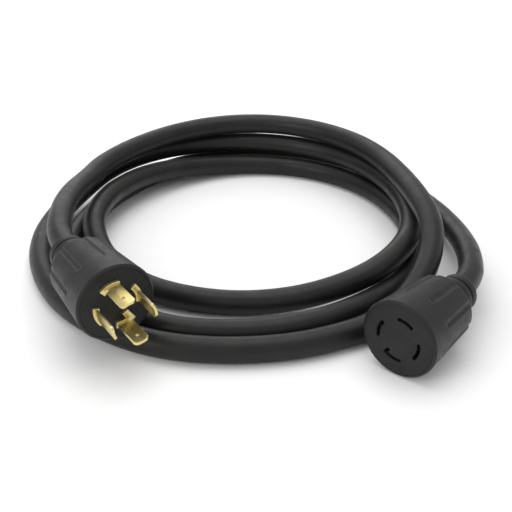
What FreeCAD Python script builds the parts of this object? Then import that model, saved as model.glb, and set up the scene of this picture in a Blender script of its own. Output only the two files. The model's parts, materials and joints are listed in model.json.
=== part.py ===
"""Shore power cord: a four-wire locking plug and a four-wire locking connector,
both moulded onto one heavy round cable that lies in a loose coil.

Millimetres, +Z up, standing surface at Z = 0.  The origin is on that surface,
midway between the two moulded ends; the coil lies behind them, towards +Y.

Each moulded end is drawn in its own frame and then placed: origin at the centre
of its mating face, +Z running back through the body to the cable, so a depth is
a distance behind the face.  Clock angles are read by someone looking at the face.
"""
import FreeCAD, Part
import Sketcher
import math
import os

Vec = FreeCAD.Vector

# Driving dimensions, one row of the sheet each.
SIZES = {
    # cable
    "cable_dia": 17.8,
    "core_dia": 13.2,
    "core_gap": 0.1,
    "wire_dia": 4.9,
    "wire_circle": 7.3,
    "copper_dia": 4.2,
    # moulded body, common to both ends
    "rim_dia": 53.0,
    "rear_dia": 45.0,
    "body_depth": 53.0,
    "rim_chamfer": 1.5,
    "shoulder": 1.6,
    "flange_dia": 48.8,
    "flange_depth": 4.0,
    "block_dia": 41.0,
    "cavity_depth": 47.0,
    "seam_gap": 0.05,
    "flute_count": 9,
    "flute_dia": 6.4,
    "flute_bite": 1.0,
    "flute_front": 17.0,
    # strain relief
    "relief_depth": 79.0,
    "spigot_dia": 23.0,
    "relief_root_dia": 30.0,
    "relief_middle_dia": 28.6,
    "relief_end_dia": 26.6,
    "relief_neck_dia": 23.6,
    "relief_lip": 1.2,
    "relief_bore_gap": 0.3,
    "ring_pitch": 8.0,
    "ring_slope": 0.5,
    "groove_width": 2.2,
    "jacket_end_depth": 51.0,
    # blades and slots
    "pin_circle": 29.2,
    "blade_thick": 1.9,
    "blade_width": 10.2,
    "blade_offset": 0.9,
    "blade_reach": 25.4,
    "ground_reach": 27.0,
    "root_thick": 4.4,
    "root_width": 12.8,
    "root_height": 2.4,
    "root_bevel": 0.3,
    "stem_width": 7.6,
    "notch_width": 2.2,
    "notch_height": 2.6,
    "pinhole_dia": 2.2,
    "pinhole_from_tip": 7.0,
    "tip_radius": 2.6,
    "hook_reach": 4.6,
    "hook_thick": 4.6,
    "slot_thick": 2.4,
    "slot_width": 12.8,
    "slot_hook_reach": 2.8,
    "neutral_slot_width": 11.4,
    "slot_depth": 3.0,
    "carrier_depth": 14.0,
    "pocket_gap": 0.4,
    "socket_depth": 24.0,
    "retainer_depth": 29.0,
    "leaf_thick": 0.8,
    "leaf_front_gap": 0.6,
    "leaf_rear_gap": 1.2,
    "contact_span": 5.0,
    "contact_width": 12.0,
    "contact_neck": 4.0,
    "barrel_dia": 6.2,
    "barrel_bore": 4.4,
    "barrel_length": 8.0,
    "barrel_floor": 1.5,
    "barrel_lead": 6.0,
}

# The cable's route, from the plug's jacket end to the connector's.
ROUTE = [
    (-118.5, 21.0, 46.2), (-142.5, 56.8, 47.1), (-150, 104, 48), (-151, 146, 44), (-143, 184, 41),
    (-136, 212, 42), (-112, 249, 44), (-77, 282, 45.5), (-36, 302, 46), (8, 305, 46),
    (50, 289, 46), (84, 257, 46), (105, 217, 46), (116, 174, 46), (123, 134, 46),
    (127.5, 96, 41.5), (120, 61, 30), (103, 34, 17), (78, 11, 9), (48, -6, 9), (15, -17.5, 9),
    (-28, -21, 9), (-70, -14, 9), (-108, 7, 9), (-140, 38, 9), (-162, 78, 9), (-174, 120, 9),
    (-175, 164, 9.5), (-161, 209, 14), (-136, 251, 24), (-97, 284, 27.5), (-50, 302, 27.5),
    (0, 304, 27.5), (48, 289, 27.5), (87, 257, 27.5), (110, 216, 27.5), (120, 171, 27.5),
    (119, 126, 27.5), (105, 84, 27), (76, 55, 19.5), (34, 41, 12), (-10, 35, 9.5), (-52, 40, 9.5),
    (-91, 59, 11), (-119, 92, 16), (-132, 131, 21), (-130, 166, 21), (-120.5, 200, 20),
    (-99, 239, 18), (-66, 271, 14), (-20, 292, 10), (30, 289, 9), (73, 266, 9), (103, 230, 9),
    (119, 187, 9), (124, 144, 9), (119, 101, 9), (101, 62, 9), (69, 29, 9), (31, 6, 9),
    (-14, -1, 9), (-60, 6, 9), (-100, 29, 9), (-130, 64, 9), (-146, 106, 9), (-150, 150, 9),
    (-140, 194, 9), (-123, 234, 9), (-97, 272, 9), (-59, 302, 9), (-10, 314, 9), (40, 308, 9),
    (88, 280, 9), (126, 241, 9), (144, 197, 11), (152, 156, 15), (155, 115, 20), (153, 76, 25),
    (144.2, 36.1, 26.5), (116.7, 4.3, 26.5),
]

# Where each end lies: the centre of its face, and the end of its strain relief.
PLUG_FACE = Vec(-90.2, -21.3, 45)
PLUG_TAIL = Vec(-134.1, 44.3, 46.8)
CONNECTOR_FACE = Vec(83.4, -34.3, 26.5)
CONNECTOR_TAIL = Vec(135, 25.5, 26.5)

# Clock angle of each pole, the ground first, then X, neutral and Y.
PLUG_POLES = {"ground": 287, "hot_x": 17, "neutral": 107, "hot_y": 197}
CONNECTOR_POLES = {"ground": 257, "hot_x": 167, "neutral": 74, "hot_y": 347}
# Clock angle of one grip flute on each body.
PLUG_FLUTE = 86
CONNECTOR_FLUTE = 67
WIRE_COLOURS = {"ground": "green", "hot_x": "black", "neutral": "white", "hot_y": "red"}

# How much of the shorter run beside a corner its arc takes up.
ARC_SHARE = 0.45

doc = FreeCAD.newDocument("ShorePowerCord")
sheet = doc.addObject("Spreadsheet::Sheet", "Sizes")
for row, (alias, value) in enumerate(SIZES.items(), start=1):
    sheet.set("A%d" % row, alias)
    sheet.set("B%d" % row, str(value))
    sheet.setAlias("B%d" % row, alias)
doc.recompute()

parts = []


def mm(alias):
    """One driving dimension, read back from the sheet."""
    return float(getattr(sheet, alias))


def finish_part(obj, label, placement=None):
    """Name a finished sub-part, place it and put it on the list."""
    obj.Label = label
    obj.Placement = placement or FreeCAD.Placement()
    parts.append(obj)
    return obj


def end_placement(face, tail):
    """Frame of a moulded end: +Z back along the body, +Y as near up as it can be."""
    back = (tail - face).normalize()
    up = Vec(0, 0, 1)
    up = (up - back * back.dot(up)).normalize()
    return FreeCAD.Placement(face, FreeCAD.Rotation(up.cross(back), up, back, "ZXY"))


def turn(shape, clock):
    """A copy of a shape drawn at clock angle 0, turned to its own clock angle."""
    matrix = FreeCAD.Placement(Vec(), FreeCAD.Rotation(Vec(0, 0, 1), 180 - clock)).toMatrix()
    return shape.transformed(matrix, copy=True)


# ---------------------------------------------------------------- parametric helpers

def origin_plane(body, role):
    """One of a body's own origin planes."""
    return [f for f in body.Origin.OriginFeatures if f.Role == role][0]


def turned_body(name, profile):
    """A PartDesign body revolved about Z from (radius, depth) points.

    Each coordinate is an expression on the sheet, or "0" for a point on an axis."""
    body = doc.addObject("PartDesign::Body", name)
    sketch = body.newObject("Sketcher::SketchObject", name + "_profile")
    sketch.AttachmentSupport = [(origin_plane(body, "XZ_Plane"), "")]
    sketch.MapMode = "FlatFace"
    at = [(value_of(r), value_of(d)) for r, d in profile]
    count = len(profile)
    for i in range(count):
        start = Vec(at[i][0], at[i][1], 0)
        stop = Vec(at[(i + 1) % count][0], at[(i + 1) % count][1], 0)
        sketch.addGeometry(Part.LineSegment(start, stop), False)
    for i in range(count):
        sketch.addConstraint(Sketcher.Constraint("Coincident", i, 2, (i + 1) % count, 1))
    for i, (radius, depth) in enumerate(profile):
        pin_coordinate(sketch, "DistanceX", i, radius, at[i][0], -2)
        pin_coordinate(sketch, "DistanceY", i, depth, at[i][1], -1)
    revolution = body.newObject("PartDesign::Revolution", name + "_turned")
    revolution.Profile = sketch
    revolution.ReferenceAxis = (sketch, ["V_Axis"])
    revolution.Angle = 360
    doc.recompute()
    return body


def pin_coordinate(sketch, kind, vertex, expression, value, axis):
    """Fix one coordinate of a profile vertex to the sheet, or to the axis it lies on."""
    if expression == "0":
        sketch.addConstraint(Sketcher.Constraint("PointOnObject", vertex, 1, axis))
        return
    index = sketch.addConstraint(Sketcher.Constraint(kind, -1, 1, vertex, 1, value))
    sketch.setExpression("Constraints[%d]" % index, in_sheet(expression))


def in_sheet(expression):
    """The same expression with every alias looked up in the sheet."""
    words = []
    for word in expression.split():
        words.append("Sizes." + word if word in SIZES else word)
    return " ".join(words)


def value_of(expression):
    """The number that an expression of aliases, + - and / 2 stands for."""
    total = 0.0
    sign = 1.0
    words = expression.split()
    i = 0
    while i < len(words):
        if words[i] in ("+", "-"):
            sign = 1.0 if words[i] == "+" else -1.0
            i += 1
            continue
        term = SIZES[words[i]] if words[i] in SIZES else float(words[i])
        while i + 1 < len(words) and words[i + 1] in ("/", "*"):
            factor = float(words[i + 2])
            term = term / factor if words[i + 1] == "/" else term * factor
            i += 2
        total += sign * term
        i += 1
    return total


def cylinder(name, radius, height, depth="0"):
    """A Part cylinder on the end's axis, from a depth backwards."""
    obj = doc.addObject("Part::Cylinder", name)
    obj.setExpression("Radius", in_sheet(radius))
    obj.setExpression("Height", in_sheet(height))
    if depth != "0":
        obj.setExpression("Placement.Base.z", in_sheet(depth))
    return obj


def feature(name, shape):
    """A Part::Feature that holds a finished shape."""
    obj = doc.addObject("Part::Feature", name)
    obj.Shape = shape
    return obj


def cut(name, base, tool):
    """Base minus tool; the volume has to go down."""
    obj = doc.addObject("Part::Cut", name)
    obj.Base = base
    obj.Tool = tool
    doc.recompute()
    if obj.Shape.Volume >= base.Shape.Volume - 1e-3:
        raise ValueError(name + ": the tool cuts nothing")
    return obj


def fuse(name, shapes):
    """One solid from several overlapping or touching objects."""
    obj = doc.addObject("Part::MultiFuse", name)
    obj.Shapes = shapes
    obj.Refine = True
    doc.recompute()
    return obj


# ---------------------------------------------------------------- plain shapes

def arc_bar(thick, width, near, far):
    """A bar bent to the pin circle, centred on clock angle 0, between two depths."""
    middle = mm("pin_circle") / 2
    angle = math.degrees(width / middle)
    outer = Part.makeCylinder(middle + thick / 2, far - near, Vec(0, 0, near), Vec(0, 0, 1), angle)
    inner = Part.makeCylinder(middle - thick / 2, far - near, Vec(0, 0, near), Vec(0, 0, 1), angle)
    bar = outer.cut(inner)
    bar.rotate(Vec(), Vec(0, 0, 1), -angle / 2)
    return bar


def barrel(near):
    """Crimp barrel on the pin circle: an open-ended tube with a floor at its front."""
    middle = mm("pin_circle") / 2
    length = mm("barrel_length")
    floor = mm("barrel_floor")
    tube = Part.makeCylinder(mm("barrel_dia") / 2, length, Vec(middle, 0, near))
    bore = Part.makeCylinder(mm("barrel_bore") / 2, length - floor, Vec(middle, 0, near + floor))
    return tube.cut(bore)


def rod(points, radius):
    """A round rod along straight runs joined by tangent arcs."""
    path = rounded_path(points, ARC_SHARE)[0]
    return swept_disc(path, radius, points[0], points[1] - points[0])


def swept_disc(path, radius, start, along):
    """A round solid of one radius along a path."""
    return path.makePipe(Part.Face(Part.Wire(Part.makeCircle(radius, start, along))))


def rounded_path(points, ratio):
    """Wire of straight runs and tangent arcs through hand-set corner points."""
    edges = []
    radii = []
    here = points[0]
    for before, corner, after in zip(points, points[1:], points[2:]):
        arrive = corner - before
        leave = after - corner
        half_turn = arrive.getAngle(leave) / 2
        shorter = min(arrive.Length, leave.Length)
        reach = ratio * shorter
        arrive.normalize()
        leave.normalize()
        radius = reach / math.tan(half_turn)
        centre_way = (leave - arrive).normalize()
        middle = corner + centre_way * (radius / math.cos(half_turn) - radius)
        arc_start = corner - arrive * reach
        arc_stop = corner + leave * reach
        edges.append(Part.LineSegment(here, arc_start).toShape())
        edges.append(Part.Arc(arc_start, middle, arc_stop).toShape())
        radii.append(radius)
        here = arc_stop
    edges.append(Part.LineSegment(here, points[-1]).toShape())
    return Part.Wire(edges), radii


# ---------------------------------------------------------------- moulded ends

def flutes(name, first):
    """The shallow grip flutes round the rear of a body, as one cutting tool."""
    radius = mm("flute_dia") / 2
    run = (mm("body_depth") - mm("flute_front")) / (mm("body_depth") - mm("rim_chamfer"))
    fall = (mm("rim_dia") - mm("rear_dia")) / 2 * run
    rear_axis = mm("rear_dia") / 2 + radius - mm("flute_bite")
    front = Vec(rear_axis + fall, 0, mm("flute_front") + radius)
    rear = Vec(rear_axis, 0, mm("body_depth") + 1)
    stick = Part.makeCylinder(radius, (rear - front).Length, front, rear - front)
    nose = Part.makeSphere(radius, front)
    one = stick.fuse(nose)
    count = int(mm("flute_count"))
    ring = [turn(one, first + 360.0 * i / count) for i in range(count)]
    return feature(name, Part.makeCompound(ring))


def overmould(end, first_flute, placement):
    """Outer moulding: bevelled front rim, long even taper with grip flutes, rear shoulder."""
    body = turned_body(end + "_overmould_body", [
        ("flange_dia / 2 + seam_gap", "0"),
        ("rim_dia / 2 - rim_chamfer", "0"),
        ("rim_dia / 2", "rim_chamfer"),
        ("rear_dia / 2", "body_depth - shoulder"),
        ("rear_dia / 2 - shoulder", "body_depth"),
        ("spigot_dia / 2 + seam_gap", "body_depth"),
        ("spigot_dia / 2 + seam_gap", "cavity_depth"),
        ("block_dia / 2 + seam_gap", "cavity_depth"),
        ("block_dia / 2 + seam_gap", "flange_depth + seam_gap"),
        ("flange_dia / 2 + seam_gap", "flange_depth + seam_gap"),
    ])
    fluted = cut(end + "_overmould_fluted", body, flutes(end + "_flutes", first_flute))
    return finish_part(fluted, end + "_overmould", placement)


def strain_relief(end, placement):
    """Collar of three rings round the cable, held in the body's rear wall by its spigot."""
    bore = "cable_dia / 2 + relief_bore_gap"
    profile = [
        (bore, "cavity_depth"),
        ("spigot_dia / 2", "cavity_depth"),
        ("spigot_dia / 2", "body_depth"),
        ("relief_neck_dia / 2", "body_depth"),
    ]
    for i, ring in enumerate(("relief_root_dia", "relief_middle_dia", "relief_end_dia")):
        near = "body_depth + ring_pitch * %d + groove_width" % i
        far = "body_depth + ring_pitch * %d" % (i + 1)
        profile += [
            ("relief_neck_dia / 2", near + " - ring_slope"),
            (ring + " / 2", near),
            (ring + " / 2", far),
            ("relief_neck_dia / 2", far + " + ring_slope"),
        ]
    profile += [
        ("relief_neck_dia / 2", "relief_depth"),
        (bore + " + relief_lip", "relief_depth"),
        (bore, "relief_depth - relief_lip"),
    ]
    body = turned_body(end + "_relief_body", profile)
    return finish_part(body, end + "_strain_relief", placement)


def wire_path(clock, near):
    """From a crimp barrel on the pin circle in to the cable's own four-wire circle."""
    outer = turn(Part.Vertex(mm("pin_circle") / 2, 0, 0), clock).Point
    inner = turn(Part.Vertex(mm("wire_circle") / 2, 0, 0), clock).Point
    last = mm("jacket_end_depth")
    straight = (last - near) * 0.3
    return [
        outer + Vec(0, 0, near),
        outer + Vec(0, 0, near + straight),
        inner + Vec(0, 0, last - straight),
        inner + Vec(0, 0, last),
    ]


def wires(end, poles, near, placement):
    """The four insulated wires between the cable and the crimp barrels."""
    cutters = []
    for pole, clock in poles.items():
        path = wire_path(clock, near)
        solid = rod(path, mm("wire_dia") / 2)
        finish_part(feature(end + "_wire_" + pole, solid),
                    end + "_wire_" + WIRE_COLOURS[pole], placement)
        cutters.append(rod(path, mm("wire_dia") / 2 + mm("seam_gap")))
    return cutters


def copper_ends(end, poles, near, placement):
    """The stripped copper strands inside the four crimp barrels."""
    length = mm("barrel_length") - mm("barrel_floor") - mm("seam_gap")
    copper = Part.makeCylinder(mm("copper_dia") / 2, length,
                               Vec(mm("pin_circle") / 2, 0, near - length))
    group = Part.makeCompound([turn(copper, clock) for clock in poles.values()])
    return finish_part(feature(end + "_copper", group), end + "_copper_ends", placement)


def inner_mould(end, poles, start, wire_near, cutters, placement):
    """Filling poured round the wires and barrels before the outer body goes on."""
    body = turned_body(end + "_inner_body", [
        ("0", start + " + seam_gap"),
        ("block_dia / 2 - seam_gap", start + " + seam_gap"),
        ("block_dia / 2 - seam_gap", "cavity_depth - seam_gap"),
        ("cable_dia / 2 + seam_gap", "cavity_depth - seam_gap"),
        ("cable_dia / 2 + seam_gap", "jacket_end_depth"),
        ("0", "jacket_end_depth"),
    ])
    hole = Part.makeCylinder(mm("barrel_dia") / 2 + mm("seam_gap"),
                             mm("barrel_length") + mm("seam_gap"),
                             Vec(mm("pin_circle") / 2, 0, wire_near - mm("barrel_length")))
    holes = [turn(hole, clock) for clock in poles.values()]
    tool = cutters[0].multiFuse(cutters[1:] + holes)
    poured = cut(end + "_inner_cut", body, feature(end + "_inner_tool", tool))
    return finish_part(poured, end + "_inner_mould", placement)


# ---------------------------------------------------------------- plug

def blade(pole):
    """One locking blade at clock angle 0: thick bevelled root, thin bent tongue set to
    one side of it, locking notch, stem through the carrier and crimp barrel."""
    reach = mm("ground_reach") if pole == "ground" else mm("blade_reach")
    root = mm("root_height")
    middle = mm("pin_circle") / 2
    half = mm("blade_width") / 2
    depth = mm("root_thick")
    tongue = arc_bar(mm("blade_thick"), 2 * half, -reach, -root / 2)
    tongue = tongue.common(tip_outline(reach))
    pinhole = Part.makeCylinder(mm("pinhole_dia") / 2, depth,
                                Vec(middle - depth / 2, 0, mm("pinhole_from_tip") - reach),
                                Vec(1, 0, 0))
    notch = Part.makeBox(depth, 2 * mm("notch_width"), mm("notch_height"),
                         Vec(middle - depth / 2, -half - mm("notch_width"),
                             -root - mm("notch_height")))
    tongue = tongue.cut(pinhole).cut(notch)
    tongue.rotate(Vec(), Vec(0, 0, 1), math.degrees(mm("blade_offset") / middle))
    base = bevelled(arc_bar(mm("root_thick"), mm("root_width"), -root, 0))
    if pole == "ground":
        inward = mm("hook_reach") + mm("root_thick") / 2
        base = base.fuse(bevelled(ground_hook(-root, 0, inward, mm("hook_thick"), 1)))
    stem = arc_bar(mm("blade_thick"), mm("stem_width"), 0, mm("carrier_depth"))
    return base.fuse([tongue, stem, barrel(mm("carrier_depth"))]).removeSplitter()


def bevelled(bar):
    """The bar with its front edges chamfered."""
    front = bar.BoundBox.ZMin
    return bar.makeChamfer(mm("root_bevel"), [e for e in bar.Edges if e.BoundBox.ZMax < front + 0.01])


def tip_outline(reach):
    """Block with the rounded corners of a blade's tip, seen along its radius."""
    half = mm("blade_width") / 2
    corner = mm("tip_radius")
    far = mm("pin_circle")
    block = Part.makeBox(far, 2 * half, reach, Vec(0, -half, -reach))
    edges = [e for e in block.Edges
             if e.BoundBox.ZMax < 0.01 - reach and e.BoundBox.XLength > far / 2]
    return block.makeFillet(corner, edges)


def ground_hook(near, far, inward, wide, side):
    """The inward hook at one side of the ground pole that makes it L-shaped."""
    middle = mm("pin_circle") / 2
    angle = math.degrees((mm("root_width") - wide) / 2 / middle)
    hook = Part.makeBox(inward, wide, far - near, Vec(middle - inward, -wide / 2, near))
    hook.rotate(Vec(), Vec(0, 0, 1), -side * angle)
    return hook


def plug():
    """The locking plug, with its four blades."""
    placement = end_placement(PLUG_FACE, PLUG_TAIL)
    overmould("plug", PLUG_FLUTE, placement)
    strain_relief("plug", placement)
    flange = cylinder("plug_flange", "flange_dia / 2", "flange_depth")
    block = cylinder("plug_block", "block_dia / 2", "carrier_depth")
    solid = fuse("plug_carrier_solid", [flange, block])
    gap = 2 * mm("seam_gap")
    stem_hole = arc_bar(mm("blade_thick") + gap, mm("stem_width") + gap,
                        -1, mm("carrier_depth") + 1)
    holes = Part.makeCompound([turn(stem_hole, clock) for clock in PLUG_POLES.values()])
    carrier = cut("plug_carrier_cut", solid, feature("plug_stem_holes", holes))
    finish_part(carrier, "plug_blade_carrier", placement)
    for pole, clock in PLUG_POLES.items():
        finish_part(feature("plug_" + pole, turn(blade(pole), clock)),
                    "plug_blade_" + pole, placement)
    near = mm("carrier_depth") + mm("barrel_length")
    cutters = wires("plug", PLUG_POLES, near, placement)
    copper_ends("plug", PLUG_POLES, near, placement)
    inner_mould("plug", PLUG_POLES, "carrier_depth", near, cutters, placement)


# ---------------------------------------------------------------- connector

def contact():
    """One spring contact at clock angle 0: two bent leaves on a base, and a barrel."""
    front = mm("slot_depth") + mm("leaf_front_gap")
    rear = mm("socket_depth") - mm("leaf_rear_gap")
    span = mm("contact_span")
    leaf = mm("leaf_thick")
    barrel_start = mm("retainer_depth") - mm("barrel_lead")
    pair = arc_bar(span, mm("contact_width"), front, rear)
    between = arc_bar(span - 2 * leaf, mm("contact_width") + 2, front - 1, rear - leaf)
    neck = arc_bar(mm("slot_thick"), mm("contact_neck"), rear - leaf, barrel_start + 1)
    return pair.cut(between).fuse([neck, barrel(barrel_start)]).removeSplitter()


def pole_opening(pole):
    """Slot and contact pocket of one pole at clock angle 0."""
    wide = mm("neutral_slot_width") if pole == "neutral" else mm("slot_width")
    slot = arc_bar(mm("slot_thick"), wide, -1, mm("slot_depth") + 1)
    pocket = arc_bar(mm("contact_span") + mm("pocket_gap"), mm("slot_width") + mm("pocket_gap"),
                     mm("slot_depth"), mm("socket_depth") + 1)
    if pole == "ground":
        inward = mm("slot_hook_reach") + mm("slot_thick") / 2
        hook = ground_hook(-1, mm("slot_depth") + 1, inward, mm("slot_thick"), -1)
        return slot.multiFuse([pocket, hook])
    return slot.fuse(pocket)


def connector():
    """The locking connector, with its four slots and spring contacts."""
    placement = end_placement(CONNECTOR_FACE, CONNECTOR_TAIL)
    overmould("connector", CONNECTOR_FLUTE, placement)
    strain_relief("connector", placement)
    flange = cylinder("connector_flange", "flange_dia / 2", "flange_depth")
    block = cylinder("connector_block", "block_dia / 2", "socket_depth")
    solid = fuse("connector_face_solid", [flange, block])
    tools = [turn(pole_opening(pole), clock) for pole, clock in CONNECTOR_POLES.items()]
    tool = tools[0].multiFuse(tools[1:])
    face = cut("connector_face_cut", solid, feature("connector_slots", tool))
    finish_part(face, "connector_face", placement)
    plate = cylinder("connector_plate", "block_dia / 2", "retainer_depth - socket_depth",
                     "socket_depth")
    hole = Part.makeCylinder(mm("barrel_dia") / 2 + mm("seam_gap"),
                             mm("retainer_depth") - mm("socket_depth") + 2,
                             Vec(mm("pin_circle") / 2, 0, mm("socket_depth") - 1))
    holes = Part.makeCompound([turn(hole, clock) for clock in CONNECTOR_POLES.values()])
    retainer = cut("connector_plate_cut", plate, feature("connector_plate_holes", holes))
    finish_part(retainer, "connector_contact_retainer", placement)
    for pole, clock in CONNECTOR_POLES.items():
        finish_part(feature("connector_" + pole, turn(contact(), clock)),
                    "connector_contact_" + pole, placement)
    near = mm("retainer_depth") - mm("barrel_lead") + mm("barrel_length")
    cutters = wires("connector", CONNECTOR_POLES, near, placement)
    copper_ends("connector", CONNECTOR_POLES, near, placement)
    inner_mould("connector", CONNECTOR_POLES, "retainer_depth", near, cutters, placement)


# ---------------------------------------------------------------- cable

def cable():
    """The cable: an outer jacket over the laid-up core, both along the same route."""
    route = [Vec(*point) for point in ROUTE]
    outer = mm("cable_dia") / 2
    core_radius = mm("core_dia") / 2
    bore = core_radius + mm("core_gap")
    path, radii = rounded_path(route, ARC_SHARE)
    start = route[0]
    along = route[1] - route[0]
    jacket = swept_disc(path, outer, start, along).cut(swept_disc(path, bore, start, along))
    core = swept_disc(path, core_radius, start, along)
    section = math.pi * (outer ** 2 - bore ** 2)
    print("cable length %.1f mm, smallest bend radius %.1f mm (%.1f diameters)"
          % (path.Length, min(radii), min(radii) / mm("cable_dia")))
    print("bend radii:", ", ".join("%.0f" % r for r in radii))
    print("jacket volume / section x length = %.5f" % (jacket.Volume / section / path.Length))
    print("core volume / section x length = %.5f"
          % (core.Volume / (math.pi * core_radius ** 2) / path.Length))
    finish_part(feature("jacket", jacket), "cable_jacket")
    finish_part(feature("core", core), "cable_core")


plug()
connector()
cable()
doc.recompute()

for obj in doc.Objects:
    if "Invalid" in obj.State or "Error" in obj.State:
        raise ValueError("%s did not build: %s" % (obj.Label, obj.State))
for obj in parts:
    if obj.Shape.isNull() or not obj.Shape.isValid():
        raise ValueError(obj.Label + " has no valid shape")

os.makedirs("parts", exist_ok=True)
for obj in parts:
    obj.Shape.exportStep(os.path.join("parts", obj.Label + ".step"))
    box = obj.Shape.BoundBox
    print("%-30s solids %d  volume %9.1f  box %.1f %.1f %.1f" % (
        obj.Label, len(obj.Shape.Solids), obj.Shape.Volume, box.XLength, box.YLength, box.ZLength))
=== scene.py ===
"""Shore power cord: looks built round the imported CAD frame.

Metres, +Z up, the floor at Z = 0. Each moulded end is modelled in its own frame, as in
the CAD: origin at the centre of its mating face, +Z back through the body to the cable
(so a depth is a distance behind the face), +Y near up. Clock angles are read by someone
who looks at the face.
"""
import bpy
import bmesh
import json
import math
from mathutils import Matrix, Vector


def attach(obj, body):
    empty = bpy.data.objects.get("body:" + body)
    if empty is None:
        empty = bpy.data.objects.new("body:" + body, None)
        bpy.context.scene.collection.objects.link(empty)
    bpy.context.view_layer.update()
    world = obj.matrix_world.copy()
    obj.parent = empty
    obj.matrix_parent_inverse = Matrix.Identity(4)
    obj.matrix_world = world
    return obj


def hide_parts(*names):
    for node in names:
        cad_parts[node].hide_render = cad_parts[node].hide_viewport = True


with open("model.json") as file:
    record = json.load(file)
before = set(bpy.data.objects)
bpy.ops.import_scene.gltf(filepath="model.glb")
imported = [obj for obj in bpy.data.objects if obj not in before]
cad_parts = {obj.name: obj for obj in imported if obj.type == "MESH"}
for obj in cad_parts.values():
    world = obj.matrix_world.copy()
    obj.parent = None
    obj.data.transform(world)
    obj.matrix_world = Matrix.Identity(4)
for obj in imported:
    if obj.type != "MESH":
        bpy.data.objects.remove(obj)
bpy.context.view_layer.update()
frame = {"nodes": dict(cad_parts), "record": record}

MM = 0.001
UP = Vector((0, 0, 1))

# ------------------------------------------------------------------ sizes, in metres

CABLE_DIA = 0.0178

RIM_DIA = 0.053
REAR_DIA = 0.045
BODY_DEPTH = 0.053
RIM_BEVEL = 0.0015
CAVITY_DEPTH = 0.047
FLANGE_DIA = 0.0488
FLANGE_DEPTH = 0.004
BLOCK_DIA = 0.041
CARRIER_DEPTH = 0.014
SOCKET_DEPTH = 0.024
SEAM = 0.00005

FLUTE_COUNT = 9
FLUTE_RADIUS = 0.0032
FLUTE_BITE = 0.0010
FLUTE_FRONT = 0.017
FLUTE_LIP = 0.0006

RELIEF_DEPTH = 0.079
SPIGOT_DIA = 0.023
RING_DIAS = (0.030, 0.0286, 0.0266)
RING_PITCH = 0.008
RELIEF_NECK_DIA = 0.0236
GROOVE = 0.0022

# Radius of the circle that the blades and slots are bent to.
PIN_RADIUS = 0.0146
BLADE_THICK = 0.0019
BLADE_WIDTH = 0.0102
# How far a tongue sits round the pin circle from the middle of its root.
BLADE_OFFSET = 0.0009
BLADE_REACH = 0.0254
GROUND_REACH = 0.0270
ROOT_THICK = 0.0044
ROOT_WIDTH = 0.0128
ROOT_HEIGHT = 0.0024
NOTCH_WIDTH = 0.0022
NOTCH_HEIGHT = 0.0026
PINHOLE_RADIUS = 0.0011
PINHOLE_FROM_TIP = 0.007
TIP_RADIUS = 0.0026
HOOK_REACH = 0.0046
HOOK_THICK = 0.0046
SLOT_HOOK_REACH = 0.0028
SLOT_THICK = 0.0024
SLOT_WIDTH = 0.0128
NEUTRAL_SLOT_WIDTH = 0.0114
SLOT_DEPTH = 0.003
CONTACT_SPAN = 0.005
POCKET_GAP = 0.0004

# Rounding of the corners of a bar's outline, and of the rims of each flat plate.
BAR_CORNER = 0.0004
ROOT_EDGE = 0.0003
TONGUE_EDGE = 0.00022
SLOT_EDGE = 0.0003
POCKET_EDGE = 0.0001

# Clock angles: each pole, the ground first, then one grip flute on each body.
PLUG_POLES = {"ground": 287, "hot_x": 17, "neutral": 107, "hot_y": 197}
CONNECTOR_POLES = {"ground": 257, "hot_x": 167, "neutral": 74, "hot_y": 347}
PLUG_FLUTE = 86
CONNECTOR_FLUTE = 67

# Points nearer than this are one point, and shorter mesh edges are slivers.
MERGE = 1e-7
SLIVER = 5e-6

# The cable's route in millimetres, from the plug's jacket end to the connector's.
ROUTE = [
    (-118.5, 21.0, 46.2), (-142.5, 56.8, 47.1), (-150, 104, 48), (-151, 146, 44), (-143, 184, 41),
    (-136, 212, 42), (-112, 249, 44), (-77, 282, 45.5), (-36, 302, 46), (8, 305, 46),
    (50, 289, 46), (84, 257, 46), (105, 217, 46), (116, 174, 46), (123, 134, 46),
    (127.5, 96, 41.5), (120, 61, 30), (103, 34, 17), (78, 11, 9), (48, -6, 9), (15, -17.5, 9),
    (-28, -21, 9), (-70, -14, 9), (-108, 7, 9), (-140, 38, 9), (-162, 78, 9), (-174, 120, 9),
    (-175, 164, 9.5), (-161, 209, 14), (-136, 251, 24), (-97, 284, 27.5), (-50, 302, 27.5),
    (0, 304, 27.5), (48, 289, 27.5), (87, 257, 27.5), (110, 216, 27.5), (120, 171, 27.5),
    (119, 126, 27.5), (105, 84, 28), (77, 54, 22), (34, 41, 12), (-10, 35, 9.5), (-52, 42, 9.5),
    (-91, 61, 11), (-119, 92, 16), (-134, 132, 23), (-133, 168, 24), (-124, 203, 23.5),
    (-102, 241, 21), (-67, 272, 15.5), (-20, 292, 10), (30, 289, 9), (73, 266, 9), (103, 230, 9),
    (119, 187, 9), (124, 144, 9), (119, 101, 9), (100, 62, 9), (67, 31, 9), (30, 9, 9),
    (-14, -1, 9), (-60, 3.5, 9), (-99, 26, 9), (-130, 64, 9), (-146, 106, 9), (-150, 150, 9),
    (-140, 194, 9), (-123, 234, 9), (-97, 272, 9), (-59, 302, 9), (-10, 314, 9), (40, 308, 9),
    (88, 280, 9), (126, 241, 9), (144, 197, 11), (152, 156, 15), (155, 115, 20), (153, 76, 25),
    (144.2, 36.1, 26.5), (116.7, 4.3, 26.5),
]


# ------------------------------------------------------------------ material helpers

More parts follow.
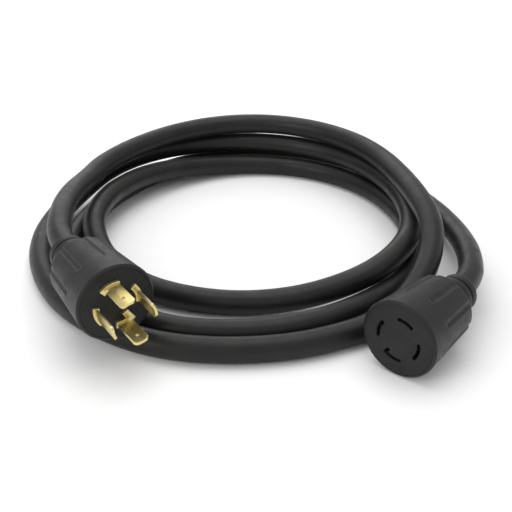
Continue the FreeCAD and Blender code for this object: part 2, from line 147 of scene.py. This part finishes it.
class Finish:
    """A node material with one Principled shader and short calls to feed it."""

    def __init__(self, name, roughness, metallic=0.0, specular=0.5):
        self.material = bpy.data.materials.new(name)
        self.material.use_nodes = True
        self.tree = self.material.node_tree
        self.shader = self.tree.nodes["Principled BSDF"]
        self.shader.inputs["Roughness"].default_value = roughness
        self.shader.inputs["Metallic"].default_value = metallic
        self.shader.inputs["Specular IOR Level"].default_value = specular
        self.bump_out = None
        self.coordinates = self.tree.nodes.new("ShaderNodeTexCoord")

    def link(self, source, target):
        self.tree.links.new(source, target)

    def mapped(self, stretch, space="Object"):
        """Coordinates stretched by a factor on each axis."""
        mapping = self.tree.nodes.new("ShaderNodeMapping")
        mapping.inputs["Scale"].default_value = stretch
        self.link(self.coordinates.outputs[space], mapping.inputs["Vector"])
        return mapping.outputs["Vector"]

    def noise(self, scale, detail=3.0, roughness=0.5, vector=None):
        """A noise value from 0 to 1."""
        node = self.tree.nodes.new("ShaderNodeTexNoise")
        node.inputs["Scale"].default_value = scale
        node.inputs["Detail"].default_value = detail
        node.inputs["Roughness"].default_value = roughness
        self.link(vector or self.coordinates.outputs["Object"], node.inputs["Vector"])
        return node.outputs["Fac"]

    def ramp(self, value, low, high, start=0.3, stop=0.7):
        """A colour that goes from low to high as the value goes from start to stop."""
        node = self.tree.nodes.new("ShaderNodeValToRGB")
        node.color_ramp.elements[0].position = start
        node.color_ramp.elements[1].position = stop
        node.color_ramp.elements[0].color = (*low, 1)
        node.color_ramp.elements[1].color = (*high, 1)
        self.link(value, node.inputs["Fac"])
        return node.outputs["Color"]

    def mix(self, share, low, high):
        """One colour laid over another by a share from 0 to 1."""
        node = self.tree.nodes.new("ShaderNodeMix")
        node.data_type = "RGBA"
        self.link(share, node.inputs["Factor"])
        self.link(low, node.inputs["A"])
        if isinstance(high, tuple):
            node.inputs["B"].default_value = (*high, 1)
        else:
            self.link(high, node.inputs["B"])
        return node.outputs["Result"]

    def span(self, value, low, high, start=0.3, stop=0.7):
        """The value's range from start to stop laid onto the range from low to high."""
        node = self.tree.nodes.new("ShaderNodeMapRange")
        node.inputs["From Min"].default_value = start
        node.inputs["From Max"].default_value = stop
        node.inputs["To Min"].default_value = low
        node.inputs["To Max"].default_value = high
        self.link(value, node.inputs["Value"])
        return node.outputs["Result"]

    def colour(self, output):
        self.link(output, self.shader.inputs["Base Color"])

    def rough(self, output):
        self.link(output, self.shader.inputs["Roughness"])

    def bump(self, height, depth, strength=1.0):
        """Relief of a real depth in metres, on top of any set before it."""
        node = self.tree.nodes.new("ShaderNodeBump")
        node.inputs["Strength"].default_value = strength
        node.inputs["Distance"].default_value = depth
        self.link(height, node.inputs["Height"])
        if self.bump_out:
            self.link(self.bump_out, node.inputs["Normal"])
        self.bump_out = node.outputs["Normal"]
        self.link(self.bump_out, self.shader.inputs["Normal"])

    def edge(self, start, stop):
        """1 on convex edges and 0 elsewhere."""
        geometry = self.tree.nodes.new("ShaderNodeNewGeometry")
        return self.span(geometry.outputs["Pointiness"], 0.0, 1.0, start, stop)


def grey(value, warmth=0.0):
    """A grey, a little warmer or cooler."""
    return (value * (1 + warmth), value, value * (1 - warmth))


# ------------------------------------------------------------------ materials

def jacket_finish():
    """Extruded oil-resistant jacket: satin black, faint lengthwise drag lines, dusty film."""
    m = Finish("jacket_rubber", 0.4, specular=0.26)
    film = m.noise(38, 4, 0.6)
    lines = m.noise(1, 2, 0.5, m.mapped((60, 90, 1), "UV"))
    m.colour(m.ramp(film, grey(0.0075, 0.04), grey(0.0150, 0.05), 0.3, 0.75))
    m.rough(m.span(m.noise(120, 3), 0.34, 0.48))
    m.bump(lines, 0.00004, 0.5)
    m.bump(m.noise(1500, 2), 0.00002, 0.6)
    return m.material


def overmould_finish():
    """Satin moulded PVC: fine spark-eroded grain; convex edges painted lighter, partly rubbed
    wear and partly a painted highlight.
    """
    m = Finish("overmould_pvc", 0.45, specular=0.26)
    base = m.ramp(m.noise(45, 4, 0.6), grey(0.0105, 0.03), grey(0.0165, 0.03))
    # Convex edges painted lighter by pointiness: partly rubbed wear, partly a painted highlight.
    m.colour(m.mix(m.edge(0.60, 0.75), base, grey(0.024, 0.03)))
    m.rough(m.span(m.noise(160, 3), 0.38, 0.52))
    m.bump(m.noise(2600, 2), 0.00003, 0.6)
    return m.material


def insulator_finish():
    """Hard matt insulator of the two fronts, its film a little uneven."""
    m = Finish("insulator_black", 0.55, specular=0.24)
    m.colour(m.ramp(m.noise(70, 4, 0.6), grey(0.0120), grey(0.0180)))
    m.rough(m.span(m.noise(200, 3), 0.48, 0.64))
    m.bump(m.noise(3600, 2), 0.00002, 0.5)
    return m.material


def brass_finish():
    """Stamped brass: drawn grain along the blade, light tarnish; edges painted pale cream, a
    painted highlight that also stands for rubbed wear.
    """
    m = Finish("stamped_brass", 0.3, 0.92)
    tarnish = m.ramp(m.noise(90, 3, 0.5), (0.60, 0.48, 0.18), (0.74, 0.62, 0.29))
    # Convex edges painted pale cream by pointiness: a painted highlight, partly standing for
    # rubbed wear.
    m.colour(m.mix(m.edge(0.52, 0.6), tarnish, (0.95, 0.90, 0.70)))
    m.rough(m.span(m.noise(300, 3), 0.26, 0.36))
    m.bump(m.noise(1, 2, 0.5, m.mapped((5200, 5200, 240))), 0.000004, 0.25)
    return m.material


def plain_finish(name, low, high, roughness, grain=900, depth=0.00002, metallic=0.0):
    """A small inner part: its colour drifts between two shades over a fine grain."""
    m = Finish(name, roughness, metallic)
    m.colour(m.ramp(m.noise(220, 3), low, high))
    m.rough(m.span(m.noise(400, 2), roughness * 0.85, roughness * 1.15))
    m.bump(m.noise(grain, 2), depth, 0.5)
    return m.material


def floor_finish():
    """Pale studio floor."""
    m = Finish("studio_floor", 0.75)
    m.colour(m.ramp(m.noise(3, 3), grey(0.90), grey(0.92)))
    m.bump(m.noise(900, 2), 0.00005, 0.15)
    return m.material


# ------------------------------------------------------------------ shape helpers

def end_frame(mount_name):
    """Matrix of a moulded end's own frame, from the mount on its face."""
    mount = next(m for m in frame["record"]["mounts"] if m["name"] == mount_name)
    back = -Vector(mount["axis"]).normalized()
    up = (UP - back * back.dot(UP)).normalized()
    turned = Matrix((up.cross(back), up, back)).transposed().to_4x4()
    return Matrix.Translation(mount["pos_m"]) @ turned


def to_clock(clock):
    """Turn a shape drawn at clock angle 0 to its own clock angle."""
    return Matrix.Rotation(math.radians(180 - clock), 4, "Z")


def rounded(corners, closed=True, segments=6):
    """Outline through (x, y, radius) corners, each rounded to its own radius."""
    points = []
    count = len(corners)
    for i, (x, y, radius) in enumerate(corners):
        here = Vector((x, y))
        if radius == 0 or (not closed and i in (0, count - 1)):
            points.append(here)
            continue
        arrive = (here - Vector(corners[i - 1][:2])).normalized()
        leave = (Vector(corners[(i + 1) % count][:2]) - here).normalized()
        turn = math.atan2(arrive.cross(leave), arrive.dot(leave))
        start = here - arrive * radius * math.tan(abs(turn) / 2)
        side = math.copysign(1, turn)
        centre = start + Vector((-arrive.y, arrive.x)) * radius * side
        for k in range(segments + 1):
            swing = Matrix.Rotation(turn * k / segments, 2)
            points.append(centre + swing @ (start - centre))
    return points


def divided(points, step):
    """The same closed outline with no straight piece longer than the step."""
    result = []
    for here, there in zip(points, points[1:] + points[:1]):
        pieces = max(1, math.ceil((there - here).length / step))
        result += [here.lerp(there, k / pieces) for k in range(pieces)]
    return result


def mesh_object(name, bm, finish, sharp_degrees=32):
    """Object from a bmesh, smooth but for its sharp edges."""
    bmesh.ops.recalc_face_normals(bm, faces=bm.faces)
    mesh = bpy.data.meshes.new(name)
    bm.to_mesh(mesh)
    bm.free()
    mesh.shade_smooth()
    mesh.set_sharp_from_angle(angle=math.radians(sharp_degrees))
    mesh.materials.append(finish)
    obj = bpy.data.objects.new(name, mesh)
    bpy.context.scene.collection.objects.link(obj)
    return obj


def lathe(bm, profile, columns, change=None, closed=True):
    """Turn a (radius, depth) profile about Z; change(radius, depth, angle) may carve it."""
    rings = []
    for radius, depth in profile:
        ring = []
        for c in range(columns if radius > MERGE else 1):
            angle = 2 * math.pi * c / columns
            r = change(radius, depth, angle) if change else radius
            ring.append(bm.verts.new((r * math.cos(angle), r * math.sin(angle), depth)))
        rings.append(ring)
    pairs = list(zip(rings, rings[1:])) + ([(rings[-1], rings[0])] if closed else [])
    for near, far in pairs:
        for c in range(columns):
            d = (c + 1) % columns
            corners = [near[c % len(near)], near[d % len(near)],
                       far[d % len(far)], far[c % len(far)]]
            unique = [v for i, v in enumerate(corners) if v not in corners[:i]]
            if len(unique) > 2:
                bm.faces.new(unique)
    return bm


def plate(outlines, thick, edge, segments=3):
    """Bmesh of a flat plate in XY, its rims rounded: first outline outside, the rest holes."""
    curve = bpy.data.curves.new("plate", "CURVE")
    curve.dimensions = "2D"
    curve.fill_mode = "BOTH"
    curve.extrude = thick / 2 - edge
    curve.bevel_depth = edge
    curve.bevel_resolution = segments
    curve.offset = -edge
    for outline in outlines:
        spline = curve.splines.new("POLY")
        spline.points.add(len(outline) - 1)
        for point, (x, y) in zip(spline.points, outline):
            point.co = (x, y, 0, 1)
        spline.use_cyclic_u = True
    holder = bpy.data.objects.new("plate", curve)
    bpy.context.scene.collection.objects.link(holder)
    depsgraph = bpy.context.evaluated_depsgraph_get()
    mesh = bpy.data.meshes.new_from_object(holder.evaluated_get(depsgraph))
    bm = bmesh.new()
    bm.from_mesh(mesh)
    bmesh.ops.remove_doubles(bm, verts=bm.verts, dist=MERGE)
    bpy.data.objects.remove(holder)
    bpy.data.curves.remove(curve)
    bpy.data.meshes.remove(mesh)
    return bm


def arc_points(radius, start, stop, count=14):
    """Points on a circle about the origin, from one angle to another."""
    angles = [start + (stop - start) * k / count for k in range(count + 1)]
    return [Vector((radius * math.cos(a), radius * math.sin(a))) for a in angles]


def circle_points(radius, count):
    """Points all the way round a circle about the origin."""
    return arc_points(radius, 0, 2 * math.pi * (count - 1) / count, count - 1)


def arc_outline(thick, width, hook_side=0, hook_reach=0.0, hook_thick=0.0):
    """Outline of a bar bent to the pin circle at clock angle 0, hooked inward at one end."""
    outer = PIN_RADIUS + thick / 2
    inner = PIN_RADIUS - thick / 2
    half = width / 2 / PIN_RADIUS
    points = arc_points(outer, -half, half)
    if not hook_side:
        return points + arc_points(inner, half, -half)
    across = hook_thick / 2
    middle = half - across / PIN_RADIUS
    out_way = Vector((math.cos(middle), math.sin(middle)))
    along = Vector((-math.sin(middle), math.cos(middle)))
    foot = out_way * (inner - hook_reach)
    points += [foot + along * across, foot - along * across]
    points += arc_points(inner, middle - math.asin(across / inner), -half, 8)
    if hook_side < 0:
        points = [Vector((p.x, -p.y)) for p in reversed(points)]
    return points


def softened(points, radius):
    """The same outline with every corner sharper than 30 degrees rounded a little."""
    count = len(points)
    corners = []
    for i, point in enumerate(points):
        arrive = (point - points[i - 1]).normalized()
        leave = (points[(i + 1) % count] - point).normalized()
        sharp = arrive.angle(leave) > math.radians(30)
        corners.append((point.x, point.y, radius if sharp else 0))
    return rounded(corners, segments=3)


def join_into(target, source, matrix=None):
    """Move one bmesh's faces into another, placed by a matrix."""
    if matrix:
        source.transform(matrix)
    mesh = bpy.data.meshes.new("joined")
    source.to_mesh(mesh)
    source.free()
    target.from_mesh(mesh)
    bpy.data.meshes.remove(mesh)


def place(obj, matrix, slot, *nodes):
    """Put a piece where its end lies, and let it stand for its CAD nodes."""
    obj.matrix_world = matrix
    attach(obj, "root")
    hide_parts(*nodes)


# ------------------------------------------------------------------ cable

def cable(finish):
    """The whole cable as one smooth spline along the route's points."""
    curve = bpy.data.curves.new("power_cable", "CURVE")
    curve.dimensions = "3D"
    spline = curve.splines.new("NURBS")
    spline.points.add(len(ROUTE) - 1)
    for point, place_mm in zip(spline.points, ROUTE):
        point.co = (*(Vector(place_mm) * MM), 1)
    spline.order_u = 3
    spline.use_endpoint_u = True
    spline.resolution_u = 10
    curve.bevel_depth = CABLE_DIA / 2
    curve.bevel_resolution = 10
    curve.use_fill_caps = True
    curve.materials.append(finish)
    obj = bpy.data.objects.new("power_cable", curve)
    bpy.context.scene.collection.objects.link(obj)
    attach(obj, "root")
    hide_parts("cable_jacket", "cable_core")


# ------------------------------------------------------------------ moulded ends

def fluted(first_clock):
    """A function that carves the grip flutes, soft-lipped, into the body's radius.

    A flute is a groove of FLUTE_RADIUS along the taper, with a ball-shaped front end.
    """
    # Only the outer wall is carved, and only from a little ahead of the flutes.
    wall = 0.003
    lead = 0.001
    slope = (RIM_DIA - REAR_DIA) / 2 / (BODY_DEPTH - RIM_BEVEL)
    pitch = 2 * math.pi / FLUTE_COUNT
    first = math.radians(180 - first_clock)

    def surface(radius, depth, angle):
        if radius < REAR_DIA / 2 - wall or depth < FLUTE_FRONT - lead:
            return radius
        axis = REAR_DIA / 2 + FLUTE_RADIUS - FLUTE_BITE + slope * (BODY_DEPTH - depth)
        short = max(0.0, FLUTE_FRONT + FLUTE_RADIUS - depth)
        reach = math.sqrt(max(0.0, FLUTE_RADIUS ** 2 - short ** 2))
        off = (angle - first + pitch / 2) % pitch - pitch / 2
        sideways = axis * math.sin(off)
        if abs(sideways) >= reach:
            return radius
        carved = axis * math.cos(off) - math.sqrt(reach ** 2 - sideways ** 2)
        blend = max(0.0, FLUTE_LIP - abs(radius - carved)) / FLUTE_LIP
        return min(radius, carved) - blend * blend * FLUTE_LIP / 4

    return surface


def overmould(end, first_flute, matrix, finish):
    """Outer moulding: bevelled front rim, long even taper with flutes, round rear shoulder."""
    # Each corner of a turned piece is its radius from the axis, its depth and its rounding.
    corners = [
        (FLANGE_DIA / 2 + SEAM, 0, 0.0002),
        (RIM_DIA / 2 - RIM_BEVEL, 0, 0.0006),
        (RIM_DIA / 2, RIM_BEVEL, 0.0010),
        (REAR_DIA / 2, BODY_DEPTH, 0.0017),
        (SPIGOT_DIA / 2 + SEAM, BODY_DEPTH, 0.0004),
        (SPIGOT_DIA / 2 + SEAM, CAVITY_DEPTH, 0),
        (BLOCK_DIA / 2 + SEAM, CAVITY_DEPTH, 0),
        (BLOCK_DIA / 2 + SEAM, FLANGE_DEPTH + SEAM, 0),
        (FLANGE_DIA / 2 + SEAM, FLANGE_DEPTH + SEAM, 0),
    ]
    profile = divided(rounded(corners), 0.0008)
    bm = lathe(bmesh.new(), profile, 432, fluted(first_flute))
    obj = mesh_object(end + "_body", bm, finish, 40)
    place(obj, matrix, "overmould", end + "_overmould")


def strain_relief(end, matrix, finish):
    """Collar of three soft-edged rings round the cable."""
    bore = CABLE_DIA / 2 + 0.0001
    neck = RELIEF_NECK_DIA / 2
    seat = BODY_DEPTH - 0.0005
    corners = [
        (bore, CAVITY_DEPTH, 0),
        (SPIGOT_DIA / 2, CAVITY_DEPTH, 0),
        (SPIGOT_DIA / 2, seat, 0),
        (neck, seat, 0),
    ]
    for i, ring_dia in enumerate(RING_DIAS):
        near = BODY_DEPTH + RING_PITCH * i + GROOVE
        far = BODY_DEPTH + RING_PITCH * (i + 1)
        corners += [
            (neck, near, 0.0006),
            (ring_dia / 2, near, 0.0010),
            (ring_dia / 2, far, 0.0014),
            (neck, far, 0.0006),
        ]
    corners += [(neck, RELIEF_DEPTH, 0.0008), (bore, RELIEF_DEPTH, 0.0008)]
    bm = lathe(bmesh.new(), divided(rounded(corners), 0.0015), 160)
    obj = mesh_object(end + "_collar", bm, finish, 60)
    place(obj, matrix, "overmould", end + "_strain_relief")


# ------------------------------------------------------------------ plug

def tongue(reach):
    """A blade's thin tongue, bent to the pin circle, with its notch and pinhole."""
    half = BLADE_WIDTH / 2
    shoulder = -ROOT_HEIGHT - NOTCH_HEIGHT
    inside = CARRIER_DEPTH / 2
    corner = 0.0005
    outline = rounded([
        (-half, -reach, TIP_RADIUS),
        (half, -reach, TIP_RADIUS),
        (half, inside, corner),
        (NOTCH_WIDTH - half, inside, corner),
        (NOTCH_WIDTH - half, shoulder, corner),
        (-half, shoulder, corner),
    ], segments=5)
    centre = Vector((0, PINHOLE_FROM_TIP - reach))
    hole = [centre + p for p in circle_points(PINHOLE_RADIUS, 24)]
    bm = plate([outline, hole], BLADE_THICK, TONGUE_EDGE)
    cuts = 20
    for k in range(1, cuts):
        everything = bm.verts[:] + bm.edges[:] + bm.faces[:]
        bmesh.ops.bisect_plane(bm, geom=everything, plane_co=(half * (2 * k / cuts - 1), 0, 0),
                               plane_no=(1, 0, 0))
    bmesh.ops.remove_doubles(bm, verts=bm.verts, dist=SLIVER)
    bmesh.ops.dissolve_degenerate(bm, edges=bm.edges, dist=SLIVER)
    for v in bm.verts:
        angle = (v.co.x + BLADE_OFFSET) / PIN_RADIUS
        radius = PIN_RADIUS + v.co.z
        v.co = Vector((radius * math.cos(angle), radius * math.sin(angle), v.co.y))
    return bm


def blade(pole, clock, matrix, finish):
    """One locking blade: thick rounded root on the face, thin tongue in front of it."""
    ground = pole == "ground"
    bar = arc_outline(ROOT_THICK, ROOT_WIDTH, -1 if ground else 0, HOOK_REACH, HOOK_THICK)
    bm = plate([softened(bar, BAR_CORNER)], 2 * ROOT_HEIGHT, ROOT_EDGE)
    join_into(bm, tongue(GROUND_REACH if ground else BLADE_REACH))
    obj = mesh_object("plug_pin_" + pole, bm, finish, 40)
    place(obj, matrix @ to_clock(clock), "brass", "plug_blade_" + pole)


def plug_front(matrix, finish):
    """The disc that holds the blades, with its block behind."""
    corners = [
        (0, 0, 0),
        (FLANGE_DIA / 2, 0, 0.0004),
        (FLANGE_DIA / 2, FLANGE_DEPTH, 0.0002),
        (BLOCK_DIA / 2, FLANGE_DEPTH, 0),
        (BLOCK_DIA / 2, CARRIER_DEPTH, 0.0004),
        (0, CARRIER_DEPTH, 0),
    ]
    bm = lathe(bmesh.new(), rounded(corners, False), 128, closed=False)
    obj = mesh_object("plug_front", bm, finish)
    place(obj, matrix, "insulator", "plug_blade_carrier")


def plug(finishes):
    """The locking plug."""
    matrix = end_frame("plug_blades")
    overmould("plug", PLUG_FLUTE, matrix, finishes["overmould"])
    strain_relief("plug", matrix, finishes["overmould"])
    plug_front(matrix, finishes["insulator"])
    for pole, clock in PLUG_POLES.items():
        blade(pole, clock, matrix, finishes["brass"])


# ------------------------------------------------------------------ connector

def connector_front(matrix, finish):
    """The disc with its four curved slots, and the block of deeper pockets behind it."""
    disc = circle_points(FLANGE_DIA / 2, 128)
    block = circle_points(BLOCK_DIA / 2, 128)
    slots = []
    pockets = []
    for pole, clock in CONNECTOR_POLES.items():
        turned = to_clock(clock).to_2x2()
        hook_side = 1 if pole == "ground" else 0
        wide = NEUTRAL_SLOT_WIDTH if pole == "neutral" else SLOT_WIDTH
        shape = arc_outline(SLOT_THICK, wide, hook_side, SLOT_HOOK_REACH, SLOT_THICK)
        slot = softened(shape, BAR_CORNER)
        pocket = arc_outline(CONTACT_SPAN + POCKET_GAP, SLOT_WIDTH + POCKET_GAP)
        slots.append([turned @ p for p in slot])
        pockets.append([turned @ p for p in pocket])
    bm = plate([disc] + slots, SLOT_DEPTH, SLOT_EDGE)
    bm.transform(Matrix.Translation((0, 0, SLOT_DEPTH / 2)))
    deep = SOCKET_DEPTH - SLOT_DEPTH
    rear = Matrix.Translation((0, 0, SLOT_DEPTH + deep / 2))
    join_into(bm, plate([block] + pockets, deep, POCKET_EDGE, 1), rear)
    obj = mesh_object("connector_front", bm, finish)
    place(obj, matrix, "insulator", "connector_face")


def connector(finishes):
    """The locking connector."""
    matrix = end_frame("connector_face")
    overmould("connector", CONNECTOR_FLUTE, matrix, finishes["overmould"])
    strain_relief("connector", matrix, finishes["overmould"])
    connector_front(matrix, finishes["insulator"])


# ------------------------------------------------------------------ inner CAD nodes

def dress_inner_nodes(finishes):
    """Materials on the CAD nodes that stay: wires, copper, contacts, retainer and filling."""
    copper = plain_finish("bare_copper", (0.62, 0.27, 0.12), (0.85, 0.46, 0.27), 0.35,
                          1600, 0.00004, 1.0)
    filling = plain_finish("inner_filling", grey(0.20), grey(0.27), 0.65)
    wires = {
        "green": plain_finish("wire_green", (0.02, 0.22, 0.05), (0.03, 0.32, 0.09), 0.3),
        "black": plain_finish("wire_black", grey(0.018), grey(0.032), 0.3),
        "white": plain_finish("wire_white", grey(0.70), grey(0.82), 0.3),
        "red": plain_finish("wire_red", (0.42, 0.02, 0.02), (0.58, 0.04, 0.03), 0.3),
    }
    for name, node in frame["nodes"].items():
        kind = name.split("_", 1)[1]
        if kind.startswith("wire_"):
            finish = wires[name.rsplit("_", 1)[1]]
        elif kind == "copper_ends":
            finish = copper
        elif kind == "inner_mould":
            finish = filling
        elif kind == "contact_retainer":
            finish = finishes["insulator"]
        elif kind.startswith("contact_"):
            finish = finishes["brass"]
        else:
            continue
        node.data.materials.clear()
        node.data.materials.append(finish)


# ------------------------------------------------------------------ studio

def floor(finish):
    """A pale floor that curves up into a backdrop far behind the object."""
    front = -3.0
    bend = 2.2
    radius = 1.5
    top = 3.5
    half_width = 4.0
    steps = 16
    line = [Vector((front, 0)), Vector((bend, 0))]
    for k in range(1, steps + 1):
        angle = math.pi / 2 * k / steps
        line.append(Vector((bend + radius * math.sin(angle), radius * (1 - math.cos(angle)))))
    line.append(Vector((bend + radius, top)))
    bm = bmesh.new()
    rows = [[bm.verts.new((x, p.x, p.y)) for x in (-half_width, half_width)] for p in line]
    for near, far in zip(rows, rows[1:]):
        bm.faces.new((near[0], near[1], far[1], far[0]))
    obj = mesh_object("studio_floor", bm, finish, 60)


def softbox(name, spot, target, size, power):
    """A square area light that faces a target."""
    light = bpy.data.lights.new(name, "AREA")
    light.shape = "SQUARE"
    light.size = size
    light.energy = power
    obj = bpy.data.objects.new(name, light)
    obj.location = spot
    obj.rotation_euler = (Vector(target) - Vector(spot)).to_track_quat("-Z", "Y").to_euler()
    bpy.context.scene.collection.objects.link(obj)


def studio():
    """Plain soft light all round, with softboxes overhead, behind and front left."""
    world = bpy.data.worlds.new("studio")
    world.use_nodes = True
    background = world.node_tree.nodes["Background"]
    background.inputs["Color"].default_value = (1, 1, 1, 1)
    background.inputs["Strength"].default_value = 0.75
    scene = bpy.context.scene
    scene.world = world
    scene.view_settings.view_transform = "Standard"
    centre = (0, 0.14, 0.02)
    softbox("overhead", (0.0, 0.35, 1.5), centre, 1.4, 11)
    softbox("behind", (-0.3, 1.6, 0.9), centre, 1.2, 5)
    softbox("front_left", (-1.3, -0.9, 0.9), centre, 0.9, 8)


def camera():
    """The camera at the picture's viewpoint."""
    lens = bpy.data.cameras.new("camera")
    lens.sensor_width = 36
    lens.lens = 59.55
    look_down = 28.5
    obj = bpy.data.objects.new("camera", lens)
    obj.location = (-0.004, -0.468, 0.321)
    obj.rotation_euler = (math.radians(90 - look_down), 0, 0)
    bpy.context.scene.collection.objects.link(obj)
    bpy.context.scene.camera = obj


camera()
studio()
floor(floor_finish())
cable(jacket_finish())
FINISHES = {
    "overmould": overmould_finish(),
    "insulator": insulator_finish(),
    "brass": brass_finish(),
}
plug(FINISHES)
connector(FINISHES)
dress_inner_nodes(FINISHES)
